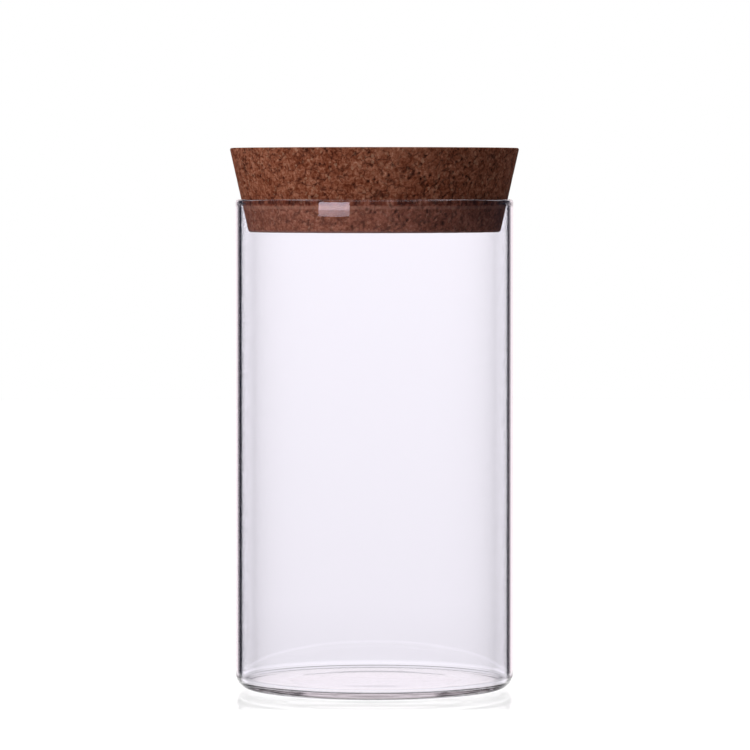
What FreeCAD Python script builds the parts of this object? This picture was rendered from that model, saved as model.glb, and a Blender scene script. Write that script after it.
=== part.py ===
import FreeCAD
import Part

import math
import os

# Storage jar: a straight cylinder of clear borosilicate glass, closed by a tapered cork lid.
# Millimetres, +Z up. The origin is on the jar's axis, in the plane that the jar stands on.

# Glass jar, drawn as a tube, sealed flat at the foot and fire-polished at the mouth.
jar_diameter = 85.0  # across the outside of the wall
jar_height = 150.0  # from the standing plane to the top of the lip
wall_thickness = 1.6
base_thickness = 2.4
heel_radius = 4.4  # outside, where the wall turns into the base
inner_heel_radius = 0.9  # inside, where the wall meets the floor
standing_ring_width = 11.0  # the flat ring that touches the table
push_up_rise = 1.0  # how far the middle of the base is pressed up
push_up_edge_radius = 12.0  # the soft edge where the push-up leaves the standing ring
lip_swelling = 0.15  # how much thicker the melted lip is than the wall
lip_blend_radius = 5.0  # the hollow curve from the lip back to the inside wall

# Cork lid, a cone pressed from cork granules that wedges in the mouth.
lid_height = 25.7
lid_insertion = 10.0  # below the top of the lip
lid_taper_deg = 12.7  # between the side and the axis
lid_top_edge_radius = 0.5
lid_bottom_edge_radius = 0.8
seat_clearance = 0.1  # between the side of the lid and the lip that carries it

FULL_TURN_DEG = 360.0
QUARTER_TURN_DEG = 90.0


def at(radius, height):
    """A point of an outline, drawn in the plane y = 0."""
    return FreeCAD.Vector(radius, 0, height)


def line(start, end):
    """A straight stretch of an outline."""
    return Part.LineSegment(start, end).toShape()


def arc(centre, radius, start_deg, end_deg):
    """A round stretch of an outline, from start to end. Angles turn from +X towards +Z."""
    angles = [start_deg, (start_deg + end_deg) / 2, end_deg]
    spokes = [at(math.cos(a), math.sin(a)) for a in map(math.radians, angles)]
    return Part.Arc(*[centre + spoke * radius for spoke in spokes]).toShape()


def start_of(edge):
    return edge.valueAt(edge.FirstParameter)


def end_of(edge):
    return edge.valueAt(edge.LastParameter)


def turned(outline):
    """The solid that a closed outline sweeps in one turn about the axis."""
    face = Part.Face(Part.Wire(outline))
    return face.revolve(at(0, 0), FreeCAD.Vector(0, 0, 1), FULL_TURN_DEG)


outer_radius = jar_diameter / 2
inner_radius = outer_radius - wall_thickness
heel_axis = outer_radius - heel_radius

# The lip is a full round, flush with the outside wall, so its swelling stands into the mouth.
lip_radius = (wall_thickness + lip_swelling) / 2
lip_centre = at(outer_radius - lip_radius, jar_height - lip_radius)


def push_up(ring_height):
    """The pressed-up middle of the base, from the axis to the standing ring, as two tangent arcs."""
    reach = heel_axis - standing_ring_width
    turn = 2 * math.atan(push_up_rise / reach)
    turn_deg = math.degrees(turn)
    dome_radius = reach / math.sin(turn) - push_up_edge_radius
    dome_centre = at(0, ring_height + push_up_rise - dome_radius)
    edge_centre = at(reach, ring_height + push_up_edge_radius)
    dome = arc(dome_centre, dome_radius, QUARTER_TURN_DEG, QUARTER_TURN_DEG - turn_deg)
    edge = arc(edge_centre, push_up_edge_radius, -QUARTER_TURN_DEG - turn_deg, -QUARTER_TURN_DEG)
    return [dome, edge]


def mouth():
    """The round lip, from the outside wall over the top, and the hollow curve to the inside wall."""
    blend_radius_at = inner_radius - lip_blend_radius
    across = lip_centre.x - blend_radius_at
    down = math.sqrt((lip_radius + lip_blend_radius) ** 2 - across**2)
    blend_centre = at(blend_radius_at, lip_centre.z - down)
    touch_deg = math.degrees(math.atan2(down, across))
    lip = arc(lip_centre, lip_radius, 0, FULL_TURN_DEG / 2 + touch_deg)
    blend = arc(blend_centre, lip_blend_radius, touch_deg, 0)
    return [lip, blend]


def glass_jar():
    """One outline round the glass: under the foot, up the outside, over the lip and down the inside."""
    underside = push_up(0)
    standing_ring = line(end_of(underside[-1]), at(heel_axis, 0))
    heel = arc(at(heel_axis, heel_radius), heel_radius, -QUARTER_TURN_DEG, 0)
    rim = mouth()
    outside_wall = line(end_of(heel), start_of(rim[0]))

    inner_heel_centre = at(inner_radius - inner_heel_radius, base_thickness + inner_heel_radius)
    inner_heel = arc(inner_heel_centre, inner_heel_radius, 0, -QUARTER_TURN_DEG)
    inside_wall = line(end_of(rim[-1]), start_of(inner_heel))
    floor = push_up(base_thickness)
    floor_ring = line(end_of(inner_heel), end_of(floor[-1]))
    on_axis = line(start_of(floor[0]), start_of(underside[0]))

    outside = underside + [standing_ring, heel, outside_wall]
    inside = [inside_wall, inner_heel, floor_ring] + floor[::-1]
    return turned(outside + rim + inside + [on_axis])


def eased(solid, radius, height):
    """The solid with its circular rim at this height rounded over."""
    rims = [edge for edge in solid.Edges if isinstance(edge.Curve, Part.Circle)]
    nearest = min(rims, key=lambda edge: abs(edge.Curve.Center.z - height))
    return solid.makeFillet(radius, [nearest]).Solids[0]


def cork_lid():
    """A cone whose side lies seat_clearance from the round lip, so it follows the mouth's size."""
    taper = math.radians(lid_taper_deg)
    to_seat = lip_radius + seat_clearance
    seat_radius = lip_centre.x - to_seat * math.cos(taper)
    seat_height = lip_centre.z + to_seat * math.sin(taper)

    bottom = jar_height - lid_insertion
    top = bottom + lid_height
    bottom_radius = seat_radius - (seat_height - bottom) * math.tan(taper)
    top_radius = seat_radius + (top - seat_height) * math.tan(taper)
    cone = Part.makeCone(bottom_radius, top_radius, lid_height, at(0, bottom))
    return eased(eased(cone, lid_bottom_edge_radius, bottom), lid_top_edge_radius, top)


def main():
    os.makedirs("parts", exist_ok=True)
    for name, solid in [("glass_jar", glass_jar()), ("cork_lid", cork_lid())]:
        solid.exportStep(f"parts/{name}.step")
        box = solid.optimalBoundingBox(False, False)
        print(f"{name}: {solid.ShapeType}, valid {solid.isValid()}, {solid.Volume / 1000:.2f} cm3")
        print(f"  {box.XLength:.2f} across, from z {box.ZMin:.2f} to {box.ZMax:.2f}")


main()
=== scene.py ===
# %% [markdown]
# # A glass storage jar with a cork lid
# The object comes apart into two pieces: a jar made from clear borosilicate tube, and a tapered lid pressed
# from cork granules. Their measured solids are loaded first, as a fixed frame. Each finished piece is then
# modelled in metres in that same frame, so nothing is fitted or scaled afterwards.

# %% Load the measured frame
import math

import bmesh
import bpy
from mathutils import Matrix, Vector, noise


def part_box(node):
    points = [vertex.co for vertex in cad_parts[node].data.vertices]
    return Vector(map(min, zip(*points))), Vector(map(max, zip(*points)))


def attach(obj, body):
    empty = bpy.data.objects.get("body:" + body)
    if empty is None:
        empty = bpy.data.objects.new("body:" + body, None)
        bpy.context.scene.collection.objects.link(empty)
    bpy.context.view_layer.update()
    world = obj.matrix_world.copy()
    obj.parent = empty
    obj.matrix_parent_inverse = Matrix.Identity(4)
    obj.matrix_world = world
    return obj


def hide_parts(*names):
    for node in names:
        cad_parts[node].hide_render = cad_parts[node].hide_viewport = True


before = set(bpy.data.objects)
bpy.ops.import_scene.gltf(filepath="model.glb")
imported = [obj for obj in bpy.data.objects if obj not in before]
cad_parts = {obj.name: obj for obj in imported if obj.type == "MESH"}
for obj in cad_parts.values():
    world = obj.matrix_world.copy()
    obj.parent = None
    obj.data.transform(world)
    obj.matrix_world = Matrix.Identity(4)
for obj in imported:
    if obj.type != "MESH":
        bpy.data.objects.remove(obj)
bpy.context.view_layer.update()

MM = 0.001  # a millimetre, in metres
jar_low, jar_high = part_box("glass_jar")
lid_low, lid_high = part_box("cork_lid")
for name, size in (("jar", jar_high - jar_low), ("lid", lid_high - lid_low)):
    print(name, [round(length / MM, 2) for length in size], "mm")

# %% [markdown]
# ## Turning on a lathe
# Both pieces are round, so each one starts as half an outline in the XZ plane and is spun about Z. The
# outline could be a list of points, but then every round stretch would be guesswork. Instead one vertex
# walks along it: an extrude makes a straight stretch and a small spin makes an arc, with the same few sizes
# that a drawing would give.

# %% Walk an outline with one vertex
FROM_X_TO_Z = (0, -1, 0)  # the axis that turns the outline's plane from +X towards +Z
GUARD = 0.15 * MM  # the short piece at either end of a flat stretch
QUARTER_TURN = 90
HALF_TURN = 180


def start_outline(radius, height):
    """A new mesh with one vertex, the tip that draws the outline."""
    mesh = bmesh.new()
    return mesh, mesh.verts.new((radius, 0, height))


def straight_to(mesh, tip, radius, height, pieces=1):
    """Extrude the tip to a new place in equal pieces, and give back the new tip."""
    step = (Vector((radius, 0, height)) - tip.co) / pieces
    for _ in range(pieces):
        tip = bmesh.ops.extrude_vert_indiv(mesh, verts=[tip])["verts"][0]
        bmesh.ops.translate(mesh, verts=[tip], vec=step)
    return tip


def flat_to(mesh, tip, radius, height):
    """A straight stretch with a short piece at each end, so that smooth shading stays flat in between."""
    start, end = tip.co.copy(), Vector((radius, 0, height))
    guard = (end - start).normalized() * GUARD
    for point in (start + guard, end - guard, end):
        tip = straight_to(mesh, tip, point.x, point.z)
    return tip


def arc_about(mesh, tip, radius, height, degrees, pieces):
    """Spin the tip about a centre, and give back the new tip."""
    centre, angle = (radius, 0, height), math.radians(degrees)
    made = bmesh.ops.spin(mesh, geom=[tip], cent=centre, axis=FROM_X_TO_Z, angle=angle, steps=pieces)
    return made["geom_last"][0]


# %% Spin the outline
UP = (0, 0, 1)
SECTORS = 16  # one of these is spun and the others are copies, so that all of them are alike
SAME_POINT = 0.002 * MM


def spin_outline(mesh, around):
    """Spin the outline through one sector, copy that round the axis, and weld the copies and the poles."""
    sector = math.tau / SECTORS
    outline = mesh.verts[:] + mesh.edges[:]
    bmesh.ops.spin(mesh, geom=outline, axis=UP, angle=sector, steps=around // SECTORS)
    slice_of_it = mesh.verts[:] + mesh.edges[:] + mesh.faces[:]
    rest = {"angle": math.tau - sector, "steps": SECTORS - 1, "use_duplicate": True}
    bmesh.ops.spin(mesh, geom=slice_of_it, axis=UP, **rest)
    bmesh.ops.remove_doubles(mesh, verts=mesh.verts, dist=SAME_POINT)
    bmesh.ops.recalc_face_normals(mesh, faces=mesh.faces)
    mesh.normal_update()


def finished_piece(mesh, name):
    """The mesh as a smooth-shaded object, at the origin."""
    for face in mesh.faces:
        face.smooth = True
    data = bpy.data.meshes.new(name)
    mesh.to_mesh(data)
    mesh.free()
    piece = bpy.data.objects.new(name, data)
    bpy.context.scene.collection.objects.link(piece)
    low = [round(min(v.co[i] for v in data.vertices) / MM, 2) for i in range(3)]
    high = [round(max(v.co[i] for v in data.vertices) / MM, 2) for i in range(3)]
    print(name, len(data.polygons), "faces, millimetres from", low, "to", high)
    return piece


# %% [markdown]
# ## The glass jar
# On the real jar a tube is sealed flat at the foot, its base is pressed up a little in the middle so that it
# stands on a ring, and the cut mouth is melted until it draws itself into a round lip. It could be a tube
# with a disc and a ring joined to it, but seams inside clear glass would show. So all of it is one outline:
# under the foot, up the outside, over the lip, down the inside and back to the axis. Glass shows both of its
# faces, so the wall has its real thickness, and the arcs are fine because every facet would bend the light.

# %% Give the jar its sizes
outer_radius = jar_high.x
wall = 1.6 * MM
base = 2.4 * MM
heel_radius = 4.4 * MM
inner_heel = 0.9 * MM
standing_ring = 11.0 * MM
push_up_rise = 1.0 * MM
push_up_edge = 12.0 * MM
lip_swelling = 0.15 * MM
lip_blend = 5.0 * MM

inner_radius = outer_radius - wall
heel_axis = outer_radius - heel_radius
lip_radius = (wall + lip_swelling) / 2
lip_axis = outer_radius - lip_radius
lip_height = jar_high.z - lip_radius
push_up_reach = heel_axis - standing_ring
push_up_turn = 2 * math.atan(push_up_rise / push_up_reach)
dome_radius = push_up_reach / math.sin(push_up_turn) - push_up_edge
print("inside", round(2 * inner_radius / MM, 1), "mm across, lip", round(2 * lip_radius / MM, 2), "mm thick")

# %% Draw and spin the jar
GLASS_AROUND = 512
DOME_PIECES, DOME_EDGE_PIECES = 12, 8
HEEL_PIECES, INNER_HEEL_PIECES = 24, 18
LIP_PIECES, LIP_BLEND_PIECES = 36, 8


def draw_push_up(mesh, tip, ring_height, outwards):
    """The pressed-up middle of the base: a wide dome and a soft edge, walked outwards or back."""
    turn = math.degrees(push_up_turn)
    dome = (0, ring_height + push_up_rise - dome_radius, DOME_PIECES)
    edge = (push_up_reach, ring_height + push_up_edge, DOME_EDGE_PIECES)
    order = [(dome, -turn), (edge, turn)] if outwards else [(edge, -turn), (dome, turn)]
    for (radius, height, pieces), degrees in order:
        tip = arc_about(mesh, tip, radius, height, degrees, pieces)
    return tip


def draw_mouth(mesh, tip):
    """The round lip, over the top, and the hollow curve that leads back to the inside wall."""
    blend_axis = inner_radius - lip_blend
    across = lip_axis - blend_axis
    down = math.sqrt((lip_radius + lip_blend) ** 2 - across**2)
    touch = math.degrees(math.atan2(down, across))
    tip = arc_about(mesh, tip, lip_axis, lip_height, HALF_TURN + touch, LIP_PIECES)
    return arc_about(mesh, tip, blend_axis, lip_height - down, -touch, LIP_BLEND_PIECES)


def glass_jar():
    mesh, tip = start_outline(0, push_up_rise)
    tip = draw_push_up(mesh, tip, 0, outwards=True)
    tip = flat_to(mesh, tip, heel_axis, 0)
    tip = arc_about(mesh, tip, heel_axis, heel_radius, QUARTER_TURN, HEEL_PIECES)
    tip = flat_to(mesh, tip, outer_radius, lip_height)
    tip = draw_mouth(mesh, tip)
    floor_corner = base + inner_heel
    tip = flat_to(mesh, tip, inner_radius, floor_corner)
    tip = arc_about(mesh, tip, inner_radius - inner_heel, floor_corner, -QUARTER_TURN, INNER_HEEL_PIECES)
    tip = flat_to(mesh, tip, push_up_reach, base)
    draw_push_up(mesh, tip, base, outwards=False)
    spin_outline(mesh, GLASS_AROUND)
    return finished_piece(mesh, "drawn_glass_jar")


jar = glass_jar()

# %% [markdown]
# ## The cork lid
# The lid is a cone cut from a block of cork granules that were pressed together with a binder. Its side lies
# a hair from the lip. A plain cone with a bumpy finish would still have a plastic-smooth edge, so the mesh
# is fine enough to carry the granules themselves: its vertices are pushed in along their normals, a little
# where a seam stands open, and deepest where a crumb has broken out. Nothing is pushed outwards, so the lid
# still fits the mouth. Near the axis the faces of a spun disc are long and thin, and relief would show as
# spokes, so the middle of both end faces stays smooth. The depth is kept on the mesh as an attribute,
# because the colour is darkened with it: partly the cork's own dark inside, partly painted shade in the deep
# places.

# %% Draw the lid
LID_TAPER = 12.7  # degrees between the side and the axis
FACE_MIDDLE = 33 * MM  # inside this radius the top and bottom faces stay smooth
BOTTOM_MIDDLE_ROWS, BOTTOM_RIM_ROWS = 8, 12
TOP_MIDDLE_ROWS, TOP_RIM_ROWS = 12, 24
SIDE_ROWS, EDGE_ROWS = 62, 4
top_edge = 0.5 * MM
bottom_edge = 0.8 * MM
seat_gap = 0.1 * MM

taper = math.radians(LID_TAPER)
seat_radius = lip_axis - (lip_radius + seat_gap) * math.cos(taper)
seat_height = lip_height + (lip_radius + seat_gap) * math.sin(taper)
print("the lid's side passes the lip at", round(seat_radius / MM, 2), round(seat_height / MM, 2), "mm")


def corner_axis(height, edge):
    """The radius at which a rounded corner of the lid has its centre, when that centre is at this height."""
    side = seat_radius + (height - seat_height) * math.tan(taper)
    return side - edge / math.cos(taper)


def draw_lid():
    """Half the lid's outline: out along the bottom, up the sloping side, and back along the top."""
    bottom_height = lid_low.z + bottom_edge
    top_height = lid_high.z - top_edge
    bottom_axis = corner_axis(bottom_height, bottom_edge)
    top_axis = corner_axis(top_height, top_edge)
    mesh, tip = start_outline(0, lid_low.z)
    tip = straight_to(mesh, tip, FACE_MIDDLE, lid_low.z, BOTTOM_MIDDLE_ROWS)
    tip = straight_to(mesh, tip, bottom_axis, lid_low.z, BOTTOM_RIM_ROWS)
    tip = arc_about(mesh, tip, bottom_axis, bottom_height, QUARTER_TURN - LID_TAPER, EDGE_ROWS)
    side_end = Vector((math.cos(taper), -math.sin(taper))) * top_edge
    tip = straight_to(mesh, tip, top_axis + side_end.x, top_height + side_end.y, SIDE_ROWS)
    tip = arc_about(mesh, tip, top_axis, top_height, QUARTER_TURN + LID_TAPER, EDGE_ROWS)
    tip = straight_to(mesh, tip, FACE_MIDDLE, lid_high.z, TOP_RIM_ROWS)
    straight_to(mesh, tip, 0, lid_high.z, TOP_MIDDLE_ROWS)
    return mesh


# %% Press the granules into the lid
LID_AROUND = 640
GRANULE = 2.6 * MM
CRUMB = 0.95 * MM
GAP_WIDTH = 0.16  # of a seam, as a share of a granule
GAPS_OPEN = 0.1  # seams stay closed where their own noise is below this
GAP_WAVES = 0.9  # of that noise, to one granule
GAP_STEEPNESS = 4
HOLE_REACH = 0.6  # of a broken-out crumb, as a share of its size
CRUMB_SPREAD = 37.3  # moves the crumbs' centres far apart, so that each one gets a number of its own
CRUMBS_LOST = 0.82  # crumbs whose own number, from -1 to 1, is above this have broken out
MIDDLE_BLEND = 3 * MM
gap_depth = 0.45 * MM
crumb_hole = 0.6 * MM


def granule_relief(point):
    """How far below the pressed face the cork lies at this point."""
    spread, _ = noise.voronoi(point / GRANULE)
    seam = max(1 - (spread[1] - spread[0]) / GAP_WIDTH, 0)
    ajar = min(max((noise.noise(point / GRANULE * GAP_WAVES) - GAPS_OPEN) * GAP_STEEPNESS, 0), 1)
    crumb_spread, crumb_centres = noise.voronoi(point / CRUMB)
    lost = noise.cell(crumb_centres[0] * CRUMB_SPREAD) > CRUMBS_LOST
    hole = max(1 - (crumb_spread[0] / HOLE_REACH) ** 2, 0) if lost else 0
    outside = min(max((point.xy.length - FACE_MIDDLE) / MIDDLE_BLEND, 0), 1)
    return max(seam * ajar * gap_depth, hole * crumb_hole) * outside


def cork_lid():
    mesh = draw_lid()
    spin_outline(mesh, LID_AROUND)
    depth = mesh.verts.layers.float.new("depth")
    for vertex in mesh.verts:
        vertex[depth] = granule_relief(vertex.co)
    moved = [(vertex, vertex.normal * vertex[depth]) for vertex in mesh.verts]
    for vertex, inwards in moved:
        vertex.co -= inwards
    for vertex in mesh.verts:
        vertex[depth] /= crumb_hole
    return finished_piece(mesh, "pressed_cork_lid")


lid = cork_lid()

# %% [markdown]
# ## Building a finish from nodes
# A finish is a small network of nodes. One helper adds any node, sets it and links it, so that each material
# below reads as a recipe. Colours are written as they look on screen, in sRGB hex, and turned to linear
# light in one place. One kind of node comes again and again: Map Range. Its inputs go by number here. It
# turns a value (0) that lies between two limits (1 and 2) into one that lies between two others (3 and 4).
# Those are 0 and 1 when nothing is said. So a named set of limits, such as the edge of a seam, is a small
# dictionary.

# %% Add a node, read a colour
COLOUR_A, COLOUR_B, MIXED = 6, 7, 2  # a Mix node's inputs and its output when it mixes colours


def linear(hex_colour):
    """An sRGB hex colour as linear red, green, blue and alpha."""
    parts = [int(hex_colour[i : i + 2], 16) / 255 for i in (1, 3, 5)]
    return [c / 12.92 if c <= 0.04045 else ((c + 0.055) / 1.055) ** 2.4 for c in parts] + [1.0]


def add(tree, kind, feeds=None, **settings):
    """Add a node with its settings. Feeds go to its inputs: a socket is linked, the rest are values."""
    node = tree.nodes.new(kind)
    for name, value in settings.items():
        setattr(node, name, value)
    for name, feed in (feeds or {}).items():
        if isinstance(feed, bpy.types.NodeSocket):
            tree.links.new(feed, node.inputs[name])
        else:
            node.inputs[name].default_value = feed
    return node


def new_material(name):
    material = bpy.data.materials.new(name)
    material.use_nodes = True
    material.node_tree.nodes.clear()
    return material, material.node_tree


def apply_finish(piece, material):
    """Give a piece its material."""
    piece.data.materials.append(material)
    print(piece.name, "is finished in", material.name, "with", len(material.node_tree.nodes), "nodes")


# %% [markdown]
# ## Clear borosilicate glass
# Borosilicate glass is clear with the faintest cool cast, and fire-polishing leaves it perfectly smooth.
# Drawing the tube leaves long shallow ripples along its length, which make the dark edge lines waver a
# little. They could be pressed into the mesh, but a bump of a few thousandths of a millimetre bends the
# light in the same way. Light that only passes through on its way from a lamp is let straight through,
# because a path tracer can't find lamps through glass.

# %% Mix the glass
RIPPLE_WIDTH = 9 * MM
RIPPLE_LENGTH = 90 * MM
RIPPLE_HEIGHT = 0.004 * MM
GLASS_TINT = "#FCFAFF"
GLASS_IOR = 1.472
WHITE = "#FFFFFF"


def drawn_borosilicate_glass():
    material, tree = new_material("drawn_borosilicate_glass")
    place = add(tree, "ShaderNodeTexCoord").outputs["Object"]
    stretch = (1 / RIPPLE_WIDTH, 1 / RIPPLE_WIDTH, 1 / RIPPLE_LENGTH)
    along = add(tree, "ShaderNodeMapping", {"Vector": place, "Scale": stretch}).outputs["Vector"]
    ripple = add(tree, "ShaderNodeTexNoise", {"Vector": along, "Scale": 1.0, "Detail": 1.0}).outputs["Fac"]
    rippled = {"Height": ripple, "Strength": 1.0, "Distance": RIPPLE_HEIGHT}
    bump = add(tree, "ShaderNodeBump", rippled).outputs["Normal"]
    clear = {"Roughness": 0.0, "IOR": GLASS_IOR, "Transmission Weight": 1.0}
    surface = {"Base Color": linear(GLASS_TINT), "Normal": bump}
    glass = add(tree, "ShaderNodeBsdfPrincipled", {**surface, **clear})
    lamp_ray = add(tree, "ShaderNodeLightPath").outputs["Is Shadow Ray"]
    passed = add(tree, "ShaderNodeBsdfTransparent", {"Color": linear(WHITE)})
    either = add(tree, "ShaderNodeMixShader", {0: lamp_ray, 1: glass.outputs[0], 2: passed.outputs[0]})
    add(tree, "ShaderNodeOutputMaterial", {"Surface": either.outputs[0]})
    return material


apply_finish(jar, drawn_borosilicate_glass())

# %% [markdown]
# ## Pressed cork: the browns
# Pressed cork is a patchwork of bark granules and chips, each one a slightly different brown. It is dry and
# dull, so it hardly shines. A picture of cork could be wrapped round the lid, but it would repeat and show a
# seam. Patterns that are worked out in space go right through the piece instead, as the granules do. Voronoi
# cells in two sizes give each granule and chip its own tone, one noise bends their edges, a fine one stands
# for the cells of the bark, and a wide one makes some patches paler.

# %% Tone the granules
CHIP = 1.3 * MM
CELL_GRAIN = 0.7 * MM  # the bark's own cells are finer, and are drawn this coarse so that they show
PATCH = 12 * MM
EDGE_WANDER = 0.9 * MM
GRANULE_SHARE, CHIP_SHARE, GRAIN_SHARE, PATCH_SHARE = 0.14, 0.3, 1.5, 0.3
MIDDLE = 0.5  # of any noise, and of the cork's tones
BROWNS = [(0.0, "#441406"), (0.2, "#5E2913"), (0.5, "#7F4732"), (0.8, "#9A634D"), (1.0, "#B37F69")]


def bent_edges(tree, place):
    """Places that are pushed about a little, so that the edges of the granules wander."""
    wander = add(tree, "ShaderNodeTexNoise", {"Vector": place, "Scale": 1 / CHIP, "Detail": 2.0})
    to_middle = {0: wander.outputs["Color"], 1: (MIDDLE, MIDDLE, MIDDLE)}
    centred = add(tree, "ShaderNodeVectorMath", to_middle, operation="SUBTRACT").outputs[0]
    push = {0: centred, 1: (EDGE_WANDER, EDGE_WANDER, EDGE_WANDER), 2: place}
    return add(tree, "ShaderNodeVectorMath", push, operation="MULTIPLY_ADD").outputs[0]


def granule_tones(tree, place, bent):
    """How pale the cork is: every granule and chip has a tone of its own, varied by grain and patches."""
    shares = []
    for size, share in ((GRANULE, GRANULE_SHARE), (CHIP, CHIP_SHARE)):
        cells = add(tree, "ShaderNodeTexVoronoi", {"Vector": bent, "Scale": 1 / size}).outputs["Color"]
        shares.append((add(tree, "ShaderNodeSeparateColor", {0: cells}).outputs[0], share))
    grain = {"Vector": place, "Scale": 1 / CELL_GRAIN, "Detail": 3.0, "Roughness": 0.6}
    patches = {"Vector": place, "Scale": 1 / PATCH, "Detail": 2.0}
    for pattern, share in ((grain, GRAIN_SHARE), (patches, PATCH_SHARE)):
        shares.append((add(tree, "ShaderNodeTexNoise", pattern).outputs["Fac"], share))
    tones = MIDDLE - MIDDLE * sum(share for _, share in shares)
    for tone, share in shares:
        more = {0: tone, 1: share, 2: tones}
        tones = add(tree, "ShaderNodeMath", more, operation="MULTIPLY_ADD").outputs[0]
    return tones


def brown_of(tree, tones):
    """The colour that the cork has at each tone."""
    ramp = add(tree, "ShaderNodeValToRGB", {0: tones})
    for _ in BROWNS[2:]:
        ramp.color_ramp.elements.new(MIDDLE)
    for element, (position, colour) in zip(ramp.color_ramp.elements, BROWNS):
        element.position = position
        element.color = linear(colour)
    return ramp.outputs["Color"]


# %% [markdown]
# ## Pressed cork: seams, specks and holes
# Between the granules some seams stand open and show dark binder, and a few chips are pale. A hole where a
# crumb is gone is nearly black, partly from the cork's own dark inside and partly from painted shade. Each
# of these is a share from 0 to 1 that says how much of a colour to lay over the browns. The holes take
# theirs from the depth that was kept on the mesh, so the deeper the darker, which is painted shade. In the
# smooth middle of the end faces they are painted instead, with the same size of crumb.

# %% Draw the seams, specks and holes
SEAM = 0.2 * MM
SPECK = 0.8 * MM
SEAM_EDGE = {1: 0.0, 2: SEAM / GRANULE, 3: 1.0, 4: 0.0}  # by the distance to the edge of a granule
SEAM_AJAR = {1: 0.44, 2: 0.58, 3: 0.0, 4: 0.8}  # by the noise that opens seams
PALE_FEW = {1: 0.9, 2: 1.0, 3: 0.0, 4: 0.4}  # by the speck's own tone
HOLE_SHADE_BY_DEPTH = {1: 0.1, 2: 0.7, 3: 0.0, 4: 0.9}  # by the depth, which is 1 in the deepest hole
PORES_FEW = {1: 0.9, 2: 0.92}  # by the crumb's own tone
PORE_EDGE = {1: 0.25, 2: 0.5, 3: 1.0, 4: 0.0}  # by the distance to the crumb's centre
PORES_INSIDE = {1: FACE_MIDDLE, 2: FACE_MIDDLE + MIDDLE_BLEND, 3: 0.9, 4: 0.0}


def seam_share(tree, bent, ajar):
    """How much binder shows: along the edges of the granules, where they stand a little open."""
    cells = {"Vector": bent, "Scale": 1 / GRANULE}
    edge = add(tree, "ShaderNodeTexVoronoi", cells, feature="DISTANCE_TO_EDGE").outputs["Distance"]
    seam = add(tree, "ShaderNodeMapRange", {0: edge, **SEAM_EDGE}).outputs[0]
    opened = add(tree, "ShaderNodeMapRange", {0: ajar, **SEAM_AJAR}).outputs[0]
    return add(tree, "ShaderNodeMath", {0: seam, 1: opened}, operation="MULTIPLY").outputs[0]


def speck_share(tree, bent):
    """How much of a pale chip shows."""
    cells = add(tree, "ShaderNodeTexVoronoi", {"Vector": bent, "Scale": 1 / SPECK}).outputs["Color"]
    own_tone = add(tree, "ShaderNodeSeparateColor", {0: cells}).outputs[1]
    return add(tree, "ShaderNodeMapRange", {0: own_tone, **PALE_FEW}).outputs[0]


def hole_share(tree, bent, from_axis):
    """How dark a hole is, with painted shade: by its depth in the mesh, or painted where the mesh is smooth.
    """
    depth = add(tree, "ShaderNodeAttribute", attribute_name="depth").outputs["Fac"]
    pressed = add(tree, "ShaderNodeMapRange", {0: depth, **HOLE_SHADE_BY_DEPTH}).outputs[0]
    crumbs = add(tree, "ShaderNodeTexVoronoi", {"Vector": bent, "Scale": 1 / CRUMB}).outputs
    own_tone = add(tree, "ShaderNodeSeparateColor", {0: crumbs["Color"]}).outputs[0]
    lost = add(tree, "ShaderNodeMapRange", {0: own_tone, **PORES_FEW}).outputs[0]
    pore = add(tree, "ShaderNodeMapRange", {0: crumbs["Distance"], **PORE_EDGE}).outputs[0]
    inside = add(tree, "ShaderNodeMapRange", {0: from_axis, **PORES_INSIDE}).outputs[0]
    for share in (lost, inside):
        pore = add(tree, "ShaderNodeMath", {0: pore, 1: share}, operation="MULTIPLY").outputs[0]
    return add(tree, "ShaderNodeMath", {0: pressed, 1: pore}, operation="MAXIMUM").outputs[0]


# %% [markdown]
# ## Pressed cork: painted light and shade round the lid
# Some colour on the stopper is painted light and shade, for what the glass and the floor throw on it. Its
# lower rim is painted pale grey, a painted reflection of the white floor below. The side below the lip is
# painted faintly paler, for the reflection in the glass in front of it, with a narrow band just under the
# lip paler still, a painted caustic that the lip focuses there. At the lip itself a dark, patchy ring is
# painted shade, where the lip bends the light away. They could be painted by hand, but all three follow the
# height and the distance from the axis, so they are made from those two and stay true all the way round.

# %% Paint the light on the rim and below the lip, and the lip's shadow
# Painted reflection: the lower rim is painted pale grey where it would mirror the white floor below.
RIM_REFLECTION_SPAN = {1: lid_low.z, 2: lid_low.z + 0.9 * MM, 3: 0.6, 4: 0.0}
AT_RIM = {1: 36 * MM, 2: 37.4 * MM}
# Painted light: below the lip the side is painted faintly paler for the reflection in the glass in front of
# it, and a narrow band paler still for the caustic that the lip focuses there.
BELOW_LIP = {1: jar_high.z - 2.6 * MM, 2: jar_high.z - 1.6 * MM, 3: 0.15, 4: 0.0}
CAUSTIC_BAND_HEIGHT = jar_high.z - 2.4 * MM
BAND_EDGE = {1: 0.3 * MM, 2: 0.8 * MM, 3: 0.4, 4: 0.0}
# Painted shade: a dark, patchy ring at the lip, where the lip bends the light away from the cork.
SEAT_RING = jar_high.z - 0.9 * MM
SEAT_EDGE = {1: 0.3 * MM, 2: 0.9 * MM, 3: 1.0, 4: 0.0}
SEAT_PATCHY = {1: 0.35, 2: 0.65, 3: 0.05, 4: 0.7}


def ring_share(tree, height, ring_height, edge):
    """How much of a ring round the lid shows, by the distance from its height."""
    off = add(tree, "ShaderNodeMath", {0: height, 1: ring_height}, operation="SUBTRACT").outputs[0]
    off = add(tree, "ShaderNodeMath", {0: off}, operation="ABSOLUTE").outputs[0]
    return add(tree, "ShaderNodeMapRange", {0: off, **edge}).outputs[0]


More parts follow.
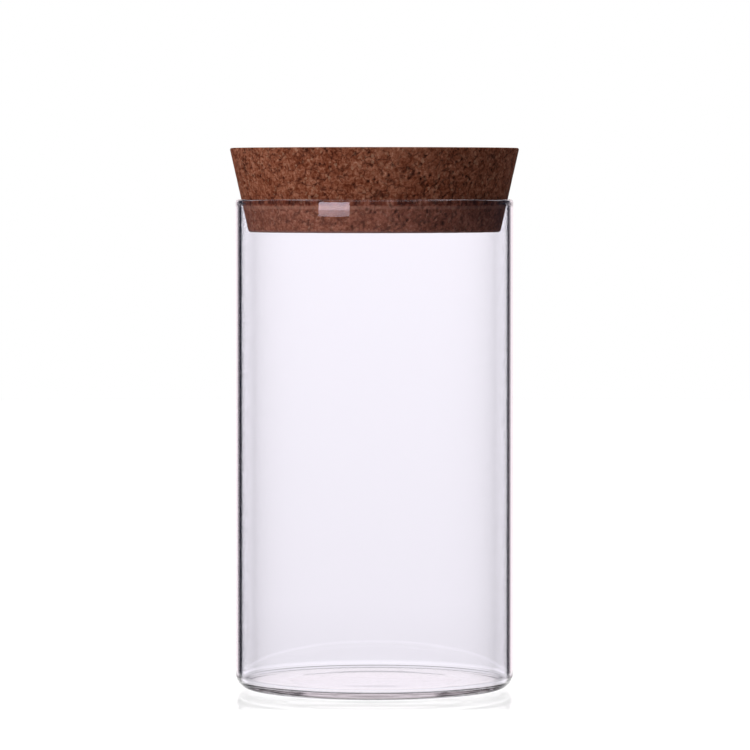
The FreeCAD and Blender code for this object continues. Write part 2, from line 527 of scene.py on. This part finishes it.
def painted_light_shares(tree, height, from_axis, ajar):
    """How much painted light the lower rim and the side and band below the lip get, and how much painted
    shade the seat ring gets.
    """
    at_rim = add(tree, "ShaderNodeMapRange", {0: from_axis, **AT_RIM}).outputs[0]
    rim = add(tree, "ShaderNodeMapRange", {0: height, **RIM_REFLECTION_SPAN}).outputs[0]
    rim = add(tree, "ShaderNodeMath", {0: rim, 1: at_rim}, operation="MULTIPLY").outputs[0]
    below = add(tree, "ShaderNodeMapRange", {0: height, **BELOW_LIP}).outputs[0]
    below = add(tree, "ShaderNodeMath", {0: below, 1: at_rim}, operation="MULTIPLY").outputs[0]
    band = ring_share(tree, height, CAUSTIC_BAND_HEIGHT, BAND_EDGE)
    band = add(tree, "ShaderNodeMath", {0: band, 1: below}, operation="MAXIMUM").outputs[0]
    patchy = add(tree, "ShaderNodeMapRange", {0: ajar, **SEAT_PATCHY}).outputs[0]
    seat = ring_share(tree, height, SEAT_RING, SEAT_EDGE)
    seat = add(tree, "ShaderNodeMath", {0: seat, 1: patchy}, operation="MULTIPLY").outputs[0]
    return rim, band, seat


# %% Mix the cork
BINDER, PALE_CHIP, HOLE_AND_SHADE = "#300C02", "#B58B72", "#3A1104"
# The colours of the painted reflection on the lower rim, the painted light below the lip and the painted
# shadow of the lip.
RIM_REFLECTION_COLOUR, BELOW_LIP_LIGHT, LIP_SHADOW = "#8E7672", "#AC836E", "#2E0F06"
CORK_ROUGHNESS = 0.82
CORK_SHINE = 0.12
GRAIN_STRENGTH = 0.5
GRAIN_HEIGHT = 0.2 * MM


def pressed_cork():
    material, tree = new_material("pressed_granulated_cork")
    place = add(tree, "ShaderNodeTexCoord").outputs["Object"]
    height = add(tree, "ShaderNodeSeparateXYZ", {0: place}).outputs["Z"]
    flat = add(tree, "ShaderNodeVectorMath", {0: place, 1: (1, 1, 0)}, operation="MULTIPLY").outputs[0]
    from_axis = add(tree, "ShaderNodeVectorMath", {0: flat}, operation="LENGTH").outputs["Value"]
    by_granule = {"Vector": place, "Scale": 1 / GRANULE, "Detail": 1.0}
    ajar = add(tree, "ShaderNodeTexNoise", by_granule).outputs["Fac"]
    bent = bent_edges(tree, place)
    tones = granule_tones(tree, place, bent)
    rim, band, seat = painted_light_shares(tree, height, from_axis, ajar)
    stains_and_painted_light = [(seam_share(tree, bent, ajar), BINDER), (speck_share(tree, bent), PALE_CHIP)]
    stains_and_painted_light += [(hole_share(tree, bent, from_axis), HOLE_AND_SHADE)]
    # These last three overlays are painted light and shade.
    stains_and_painted_light += [(rim, RIM_REFLECTION_COLOUR), (band, BELOW_LIP_LIGHT), (seat, LIP_SHADOW)]
    colour = brown_of(tree, tones)
    for share, overlay_colour in stains_and_painted_light:
        layer = {0: share, COLOUR_A: colour, COLOUR_B: linear(overlay_colour)}
        colour = add(tree, "ShaderNodeMix", layer, data_type="RGBA").outputs[MIXED]
    grain = {"Height": tones, "Strength": GRAIN_STRENGTH, "Distance": GRAIN_HEIGHT}
    bump = add(tree, "ShaderNodeBump", grain).outputs["Normal"]
    dull = {"Roughness": CORK_ROUGHNESS, "Specular IOR Level": CORK_SHINE}
    cork = add(tree, "ShaderNodeBsdfPrincipled", {"Base Color": colour, "Normal": bump, **dull})
    add(tree, "ShaderNodeOutputMaterial", {"Surface": cork.outputs[0]})
    return material


apply_finish(lid, pressed_cork())

# %% [markdown]
# ## A white studio: what the glass mirrors
# Clear glass has no colour of its own, so it looks like what it mirrors and bends. The classic set for it is
# a white panel behind the glass in a dark room: straight through it is white, while the edges, which bend
# and mirror the view sideways, pick up the dark. It could be built from boards and lamps, but they would
# show, so the world is that set and a ray finds it by its direction. Rays that were mirrored in the glass
# see the panel, the dark room beside it, a pale ceiling, the top of the backdrop and the ground. Those that
# also crossed a second wall of glass see a panel with a top and a foot, which draws the lines in the base.
# Those that bounced more than twice, as in the heel, see two pale wings beside it as well.

# %% Hang the panel in the dark room
PANEL_CENTRE = math.radians(1.5)  # to the right of straight behind the jar
SECOND_WALL = 2.5  # more crossings of a face than this mean a second wall
BOUNCED_OFTEN = 2.5
ACROSS = {  # limits on the angle from the panel's centre, left and right alike
    "panel": {1: math.radians(18), 2: math.radians(21), 3: 1.0, 4: 0.0},
    "second panel": {1: math.radians(24), 2: math.radians(28), 3: 1.0, 4: 0.0},
    "wing start": {1: math.radians(22), 2: math.radians(27)},
    "wing end": {1: math.radians(45), 2: math.radians(52), 3: 0.8, 4: 0.0},
    "backdrop": {1: 0.7, 2: 0.9, 3: 1.0, 4: 0.0},
}
UPWARDS = {  # limits on the rise, the sine of the angle above the horizon
    "second foot": {1: 0.0, 2: 0.035},
    "second top": {1: 0.215, 2: 0.245, 3: 1.0, 4: 0.0},
    "wing foot": {1: 0.0, 2: 0.03},
    "ceiling": {1: 0.77, 2: 0.87},
    "backdrop": {1: 0.34, 2: 0.44},
    "ground": {1: -0.75, 2: -0.55, 3: 1.0, 4: 0.0},
}
DARK_ROOM, PANEL_WHITE = "#1E1F2A", "#FFF4F8"
SECOND_GAIN = 1.13  # makes up for what the second wall keeps
SECOND_WHITE = [SECOND_GAIN * part for part in linear("#FFFCF9")[:3]] + [1.0]


def mirrored_set(tree, ray, turned, rise):
    """The colour that mirrored rays find: pale panel, wings, ceiling, backdrop and ground in a dark room."""
    off = add(tree, "ShaderNodeMath", {0: turned, 1: PANEL_CENTRE}, operation="SUBTRACT").outputs[0]
    angle = add(tree, "ShaderNodeMath", {0: off}, operation="ABSOLUTE").outputs[0]
    across = {k: add(tree, "ShaderNodeMapRange", {0: angle, **v}).outputs[0] for k, v in ACROSS.items()}
    up = {k: add(tree, "ShaderNodeMapRange", {0: rise, **v}).outputs[0] for k, v in UPWARDS.items()}
    crossings = {0: ray["Transmission Depth"], 1: SECOND_WALL}
    second = add(tree, "ShaderNodeMath", crossings, operation="GREATER_THAN").outputs[0]
    bounces = {0: ray["Glossy Depth"], 1: BOUNCED_OFTEN}
    wing = add(tree, "ShaderNodeMath", bounces, operation="GREATER_THAN").outputs[0]
    for limit in (across["wing start"], across["wing end"], up["wing foot"]):
        wing = add(tree, "ShaderNodeMath", {0: wing, 1: limit}, operation="MULTIPLY").outputs[0]
    short = across["second panel"]
    for limit in (up["second foot"], up["second top"]):
        short = add(tree, "ShaderNodeMath", {0: short, 1: limit}, operation="MULTIPLY").outputs[0]
    behind = {0: up["backdrop"], 1: across["backdrop"]}
    backdrop = add(tree, "ShaderNodeMath", behind, operation="MULTIPLY").outputs[0]
    pale = add(tree, "ShaderNodeMix", {0: second, 2: across["panel"], 3: short}).outputs[0]
    for patch in (wing, up["ceiling"], backdrop, up["ground"]):
        pale = add(tree, "ShaderNodeMath", {0: pale, 1: patch}, operation="MAXIMUM").outputs[0]
    whites = {0: second, COLOUR_A: linear(PANEL_WHITE), COLOUR_B: SECOND_WHITE}
    white = add(tree, "ShaderNodeMix", whites, data_type="RGBA").outputs[MIXED]
    room = {0: pale, COLOUR_A: linear(DARK_ROOM), COLOUR_B: white}
    return add(tree, "ShaderNodeMix", room, data_type="RGBA").outputs[MIXED]


# %% [markdown]
# ## A white studio: what shows through the glass
# Rays that came straight through find white on every side, so the jar stays clear when the camera walks
# round it. The white is a little brighter than plain white, because every face of the glass keeps some of
# the light, and it falls off towards the foot. Two strips left and right of the middle are more than twice
# as bright: the curved wall near the jar's edges bends its view there, and would look grey without them.
# Above the horizon, where the lip bends its view, it is dimmed. A lamp behind the jar could do the same, but
# it would show as a shape. Matt surfaces aren't lit by any of this, but by one soft level.

# %% Light what shows through
LEVEL = {1: -0.085, 2: 0.0, 3: 1.06, 4: 1.18}  # by the rise
LEVEL_AT_FOOT = {1: -0.098, 2: -0.085, 3: -0.075, 4: 0.0}
STRIPS_START = {1: math.radians(6.5), 2: math.radians(15.5), 3: 0.0, 4: 1.36}
STRIPS_END = {1: math.radians(22), 2: math.radians(26), 3: 1.0, 4: 0.0}
STRIPS_FOOT = {1: -0.14, 2: -0.12}
DIMMED_ABOVE = {1: 0.0, 2: 0.12, 3: 0.0, 4: 0.45}
DIMMED_BEHIND = {1: 0.7, 2: 0.9, 3: 1.0, 4: 0.0}


def white_behind(tree, turned, rise):
    """How bright the white is that shows straight through the jar."""
    aside = add(tree, "ShaderNodeMath", {0: turned}, operation="ABSOLUTE").outputs[0]
    level = add(tree, "ShaderNodeMapRange", {0: rise, **LEVEL}).outputs[0]
    foot = add(tree, "ShaderNodeMapRange", {0: rise, **LEVEL_AT_FOOT}).outputs[0]
    level = add(tree, "ShaderNodeMath", {0: level, 1: foot}, operation="ADD").outputs[0]
    strips = add(tree, "ShaderNodeMapRange", {0: aside, **STRIPS_START}).outputs[0]
    for along, limits in ((aside, STRIPS_END), (rise, STRIPS_FOOT)):
        share = add(tree, "ShaderNodeMapRange", {0: along, **limits}).outputs[0]
        strips = add(tree, "ShaderNodeMath", {0: strips, 1: share}, operation="MULTIPLY").outputs[0]
    more = {0: level, 1: strips, 2: level}
    through = add(tree, "ShaderNodeMath", more, operation="MULTIPLY_ADD").outputs[0]
    above = add(tree, "ShaderNodeMapRange", {0: rise, **DIMMED_ABOVE}).outputs[0]
    behind = add(tree, "ShaderNodeMapRange", {0: aside, **DIMMED_BEHIND}).outputs[0]
    dimmed = add(tree, "ShaderNodeMath", {0: above, 1: behind}, operation="MULTIPLY").outputs[0]
    return add(tree, "ShaderNodeMath", {0: through, 1: dimmed}, operation="SUBTRACT").outputs[0]


# %% Put the studio round the jar
AMBIENT = 0.25
EVER = 0.5  # a count above this is at least one


def white_studio():
    world = bpy.data.worlds.new("white_studio")
    world.use_nodes = True
    tree = world.node_tree
    tree.nodes.clear()
    ray = add(tree, "ShaderNodeLightPath").outputs
    direction = add(tree, "ShaderNodeTexCoord").outputs["Generated"]
    right, away, rise = add(tree, "ShaderNodeSeparateXYZ", {0: direction}).outputs
    turned = add(tree, "ShaderNodeMath", {0: right, 1: away}, operation="ARCTAN2").outputs[0]
    mirrored = mirrored_set(tree, ray, turned, rise)
    through = white_behind(tree, turned, rise)

    whites = {0: ray["Is Transmission Ray"], COLOUR_A: linear(WHITE), COLOUR_B: through}
    straight = add(tree, "ShaderNodeMix", whites, data_type="RGBA").outputs[MIXED]
    bounces = {0: ray["Glossy Depth"], 1: EVER}
    bounced = add(tree, "ShaderNodeMath", bounces, operation="GREATER_THAN").outputs[0]
    views = {0: bounced, COLOUR_A: straight, COLOUR_B: mirrored}
    seen = add(tree, "ShaderNodeMix", views, data_type="RGBA").outputs[MIXED]

    sharp_rays = {0: ray["Is Glossy Ray"], 1: ray["Is Camera Ray"]}
    sharp = add(tree, "ShaderNodeMath", sharp_rays, operation="MAXIMUM").outputs[0]
    scatters = {0: ray["Diffuse Depth"], 1: EVER}
    scattered = add(tree, "ShaderNodeMath", scatters, operation="GREATER_THAN").outputs[0]
    clean = add(tree, "ShaderNodeMath", {0: 1.0, 1: scattered}, operation="SUBTRACT").outputs[0]
    looks = add(tree, "ShaderNodeMath", {0: sharp, 1: clean}, operation="MULTIPLY").outputs[0]
    lights = {0: looks, COLOUR_A: [AMBIENT, AMBIENT, AMBIENT, 1.0], COLOUR_B: seen}
    light = add(tree, "ShaderNodeMix", lights, data_type="RGBA").outputs[MIXED]
    sky = add(tree, "ShaderNodeBackground", {"Color": light})
    add(tree, "ShaderNodeOutputWorld", {"Surface": sky.outputs[0]})
    return world


studio = white_studio()
bpy.context.scene.world = studio
print(studio.name, len(studio.node_tree.nodes), "nodes")

# %% [markdown]
# ## The floor: where the jar touches it
# A jar that stands on a sheet darkens it where the two meet, because no light gets in there. Lamp light
# passes straight through this glass, so that shade wouldn't come by itself, and the heel would have no dark
# line. It is drawn as a ring for the rays that see the sheet through the glass. In front it lies under the
# heel, for rays that bounced inside the glass or come in low. Behind the jar it is wider and fainter, and
# shows only to low rays, so that a high view looks clean.

# %% Shade the floor round the heel
GRAZING = {1: 0.7, 2: 0.8}  # by the slant, 0 from straight above and 1 along the sheet
HEEL_SHADE_START = {1: 36 * MM, 2: 40 * MM, 3: 0.0, 4: 0.95}  # by the distance from the axis
HEEL_SHADE_END = {1: 43 * MM, 2: 47 * MM, 3: 1.0, 4: 0.0}
LOW_SHADE_END = {1: 47 * MM, 2: 54 * MM, 3: 1.0, 4: 0.0}
BACK_SHADE_START = {1: 50 * MM, 2: 55 * MM, 3: 0.0, 4: 0.6}
BACK_SHADE_END = {1: 64 * MM, 2: 72 * MM, 3: 1.0, 4: 0.0}
FRONT_TO_BACK = {1: -14 * MM, 2: -2 * MM}  # along Y


def front_shade(tree, ray, reach, grazing):
    """The shade under the heel, and a little beyond it for low rays."""
    start = add(tree, "ShaderNodeMapRange", {0: reach, **HEEL_SHADE_START}).outputs[0]
    bounces = {0: ray["Glossy Depth"], 1: EVER}
    bounced = add(tree, "ShaderNodeMath", bounces, operation="GREATER_THAN").outputs[0]
    caught = add(tree, "ShaderNodeMath", {0: bounced, 1: grazing}, operation="MAXIMUM").outputs[0]
    ends = []
    for limits, rays in ((HEEL_SHADE_END, caught), (LOW_SHADE_END, grazing)):
        end = add(tree, "ShaderNodeMapRange", {0: reach, **limits}).outputs[0]
        ends.append(add(tree, "ShaderNodeMath", {0: end, 1: rays}, operation="MULTIPLY").outputs[0])
    end = add(tree, "ShaderNodeMath", {0: ends[0], 1: ends[1]}, operation="MAXIMUM").outputs[0]
    return add(tree, "ShaderNodeMath", {0: start, 1: end}, operation="MULTIPLY").outputs[0]


def contact_shade(tree, ray, reach, back):
    """How much the sheet is darkened where rays see it through the glass."""
    slant = add(tree, "ShaderNodeLayerWeight").outputs["Facing"]
    grazing = add(tree, "ShaderNodeMapRange", {0: slant, **GRAZING}).outputs[0]
    before = front_shade(tree, ray, reach, grazing)
    behind = grazing
    for limits in (BACK_SHADE_START, BACK_SHADE_END):
        share = add(tree, "ShaderNodeMapRange", {0: reach, **limits}).outputs[0]
        behind = add(tree, "ShaderNodeMath", {0: behind, 1: share}, operation="MULTIPLY").outputs[0]
    side = add(tree, "ShaderNodeMapRange", {0: back, **FRONT_TO_BACK}).outputs[0]
    return add(tree, "ShaderNodeMix", {0: side, 2: before, 3: behind}).outputs[0]


# %% [markdown]
# ## The floor: a glossy white sheet
# The jar stands on a white acrylic sheet with a slight gloss. It could be a plain lit plane, but that never
# quite meets the white behind it. So most of its white is its own glow for the camera, and the rest is lit,
# so that it keeps the jar's shadow. The gloss shows the jar's foot mirrored and dies away a finger's width
# in front of it. Through the glass the sheet is seen only close to the jar, with the shade round the heel.
# Farther out such rays pass it and find the studio, so what the glass bends is the same white all round.

# %% Lay the floor
FLOOR_RADIUS = 2.0
FLOOR_EDGES = 96
FLOOR_DROP = 0.2 * MM
SHEET_LIT = "#BCBCBC"
SHEET_GLOW = {1: 0.15, 2: 0.5, 3: 0.85, 4: 1.0}
SHEET_IOR = 1.3
SHEET_ROUGHNESS = 0.05
MIRROR_FADE = {1: -70 * MM, 2: -60 * MM, 3: 0.0, 4: 0.6}
SEEN_THROUGH_GLASS = {1: 66 * MM, 2: 76 * MM, 3: 1.0, 4: 0.0}


def sheet_for_camera(tree, reach, back, lit):
    """The sheet as the camera sees it: lit and glowing, with a mirror image near the jar."""
    strength = add(tree, "ShaderNodeMapRange", {0: reach, **SHEET_GLOW}).outputs[0]
    glow = add(tree, "ShaderNodeEmission", {"Color": linear(WHITE), "Strength": strength})
    sheet = add(tree, "ShaderNodeAddShader", {0: lit, 1: glow.outputs[0]})
    mirror = add(tree, "ShaderNodeBsdfGlossy", {"Color": linear(WHITE), "Roughness": SHEET_ROUGHNESS})
    fade = add(tree, "ShaderNodeMapRange", {0: back, **MIRROR_FADE}).outputs[0]
    fresnel = add(tree, "ShaderNodeFresnel", {"IOR": SHEET_IOR}).outputs[0]
    gloss = add(tree, "ShaderNodeMath", {0: fade, 1: fresnel}, operation="MULTIPLY").outputs[0]
    return add(tree, "ShaderNodeMixShader", {0: gloss, 1: sheet.outputs[0], 2: mirror.outputs[0]}).outputs[0]


def sheet_through_glass(tree, ray, reach, back):
    """The sheet as rays see it through the glass: white with the shade round the heel, gone farther out."""
    contact = contact_shade(tree, ray, reach, back)
    white = add(tree, "ShaderNodeMath", {0: 1.0, 1: contact}, operation="SUBTRACT").outputs[0]
    pale = add(tree, "ShaderNodeEmission", {"Color": linear(WHITE), "Strength": white})
    gone = add(tree, "ShaderNodeBsdfTransparent")
    near = add(tree, "ShaderNodeMapRange", {0: reach, **SEEN_THROUGH_GLASS}).outputs[0]
    return add(tree, "ShaderNodeMixShader", {0: near, 1: gone.outputs[0], 2: pale.outputs[0]}).outputs[0]


def glossy_white_sheet():
    material, tree = new_material("white_acrylic_sheet")
    ray = add(tree, "ShaderNodeLightPath").outputs
    place = add(tree, "ShaderNodeTexCoord").outputs["Object"]
    reach = add(tree, "ShaderNodeVectorMath", {0: place}, operation="LENGTH").outputs["Value"]
    back = add(tree, "ShaderNodeSeparateXYZ", {0: place}).outputs["Y"]
    lit = add(tree, "ShaderNodeBsdfDiffuse", {"Color": linear(SHEET_LIT)}).outputs[0]
    seen = sheet_for_camera(tree, reach, back, lit)
    shown = add(tree, "ShaderNodeMixShader", {0: ray["Is Camera Ray"], 1: lit, 2: seen}).outputs[0]
    bent = sheet_through_glass(tree, ray, reach, back)
    either = add(tree, "ShaderNodeMixShader", {0: ray["Is Glossy Ray"], 1: shown, 2: bent})
    add(tree, "ShaderNodeOutputMaterial", {"Surface": either.outputs[0]})
    return material


def floor_disc():
    mesh = bmesh.new()
    bmesh.ops.create_circle(mesh, cap_ends=True, radius=FLOOR_RADIUS, segments=FLOOR_EDGES)
    bmesh.ops.translate(mesh, verts=mesh.verts, vec=(0, 0, jar_low.z - FLOOR_DROP))
    return finished_piece(mesh, "floor")


floor = floor_disc()
apply_finish(floor, glossy_white_sheet())

# %% [markdown]
# ## Lamps
# Bare bulbs would give hard shadows and sparks in the glass, so every lamp is a soft box. A large key box on
# the left lights the cork, which is why it falls off towards the right, and a box overhead lights the top
# of the lid. Both stay out of the glass. A smaller box beside the key, faintly rose, is the one that the
# wall mirrors as a bright patch just under the lip. Its lower edge sets where the patch ends, and a narrow,
# weak box below it, the skirt, softens that edge.

# %% Make a softbox


def softbox(name, turn, distance, height, aim_height, width, length, watts):
    """A rectangular lamp, turned this many degrees from the camera's side towards the left."""
    lamp = bpy.data.lights.new(name, "AREA")
    lamp.shape = "RECTANGLE"
    lamp.size = width
    lamp.size_y = length
    lamp.energy = watts
    stand = bpy.data.objects.new(name, lamp)
    away = math.radians(turn)
    stand.location = (-distance * math.sin(away), -distance * math.cos(away), height)
    aim = Vector((0, 0, aim_height)) - stand.location
    stand.rotation_euler = aim.to_track_quat("-Z", "Y").to_euler()
    bpy.context.scene.collection.objects.link(stand)
    print(name, watts, "W at", [round(x, 3) for x in stand.location])
    return stand


# %% Hang the softboxes
PATCH_FOOT = 0.1412
PATCH_LENGTH = 0.3
SKIRT_LENGTH = 0.0032
ROSE = "#FFEFFF"
patch_height = PATCH_FOOT + PATCH_LENGTH / 2
skirt_height = PATCH_FOOT - SKIRT_LENGTH / 2
level_boxes = [
    ("patch_softbox", patch_height, PATCH_LENGTH, 3.9),
    ("skirt_softbox", skirt_height, SKIRT_LENGTH, 0.022),
]
for name, middle, length, watts in level_boxes:
    place = {"turn": 33, "distance": 1.0, "height": middle, "aim_height": middle}
    box = softbox(name, **place, width=0.46, length=length, watts=watts)
    box.data.color = linear(ROSE)[:3]
    box.visible_transmission = False
    box.visible_diffuse = False

AIM_HEIGHT = 0.15  # the jar's lip
key_place = {"turn": 50, "distance": 1.2, "height": 0.4, "aim_height": AIM_HEIGHT}
top_place = {"turn": 180, "distance": 0.1, "height": 1.4, "aim_height": AIM_HEIGHT}
key = softbox("key_softbox", **key_place, width=0.7, length=0.7, watts=10.2)
top = softbox("top_softbox", **top_place, width=0.8, length=0.8, watts=5.0)
for box in (key, top):
    box.visible_glossy = False
    box.visible_transmission = False

# %% [markdown]
# ## The camera
# The photograph was taken with a long lens from about a metre and a half, a little above the lip and tilted
# slightly down. Its distance, height and tilt come from fitting the jar's outline, and its lens from the
# jar's width. Light crosses many faces of glass in the heel and the lip, so paths may be long.

# %% Set up the camera
IMAGE_WIDTH = 750  # pixels
FOCAL_PIXELS = 4943
SENSOR = 36.0  # millimetres
CAMERA_DISTANCE = 1.516
CAMERA_HEIGHT = 0.1556
CAMERA_SIDE = 0.16 * MM
CAMERA_TILT = 2.248  # degrees below level
NEAREST = 0.01
LONGEST_PATH = 24

scene = bpy.context.scene
lens = bpy.data.cameras.new("camera")
lens.sensor_width = SENSOR
lens.lens = FOCAL_PIXELS * SENSOR / IMAGE_WIDTH
lens.clip_start = NEAREST
camera = bpy.data.objects.new("camera", lens)
camera.location = (CAMERA_SIDE, -CAMERA_DISTANCE, CAMERA_HEIGHT)
camera.rotation_euler = (math.radians(QUARTER_TURN - CAMERA_TILT), 0, 0)
scene.collection.objects.link(camera)
scene.camera = camera
scene.view_settings.view_transform = "Standard"
for limit in ("max_bounces", "glossy_bounces", "transmission_bounces"):
    setattr(scene.cycles, limit, LONGEST_PATH)
print("lens", round(lens.lens, 1), "mm")

# %% [markdown]
# ## Put the pieces on the frame
# Each piece stands for its measured solid and moves with that solid's body. The lid's
# body slides up, so the lid lifts out of the mouth when the joint moves.

# %% Ride and replace
for piece, body, node, slot in [(jar, "jar", "glass_jar", "glass"), (lid, "lid", "cork_lid", "cork")]:
    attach(piece, body)
    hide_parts(node)
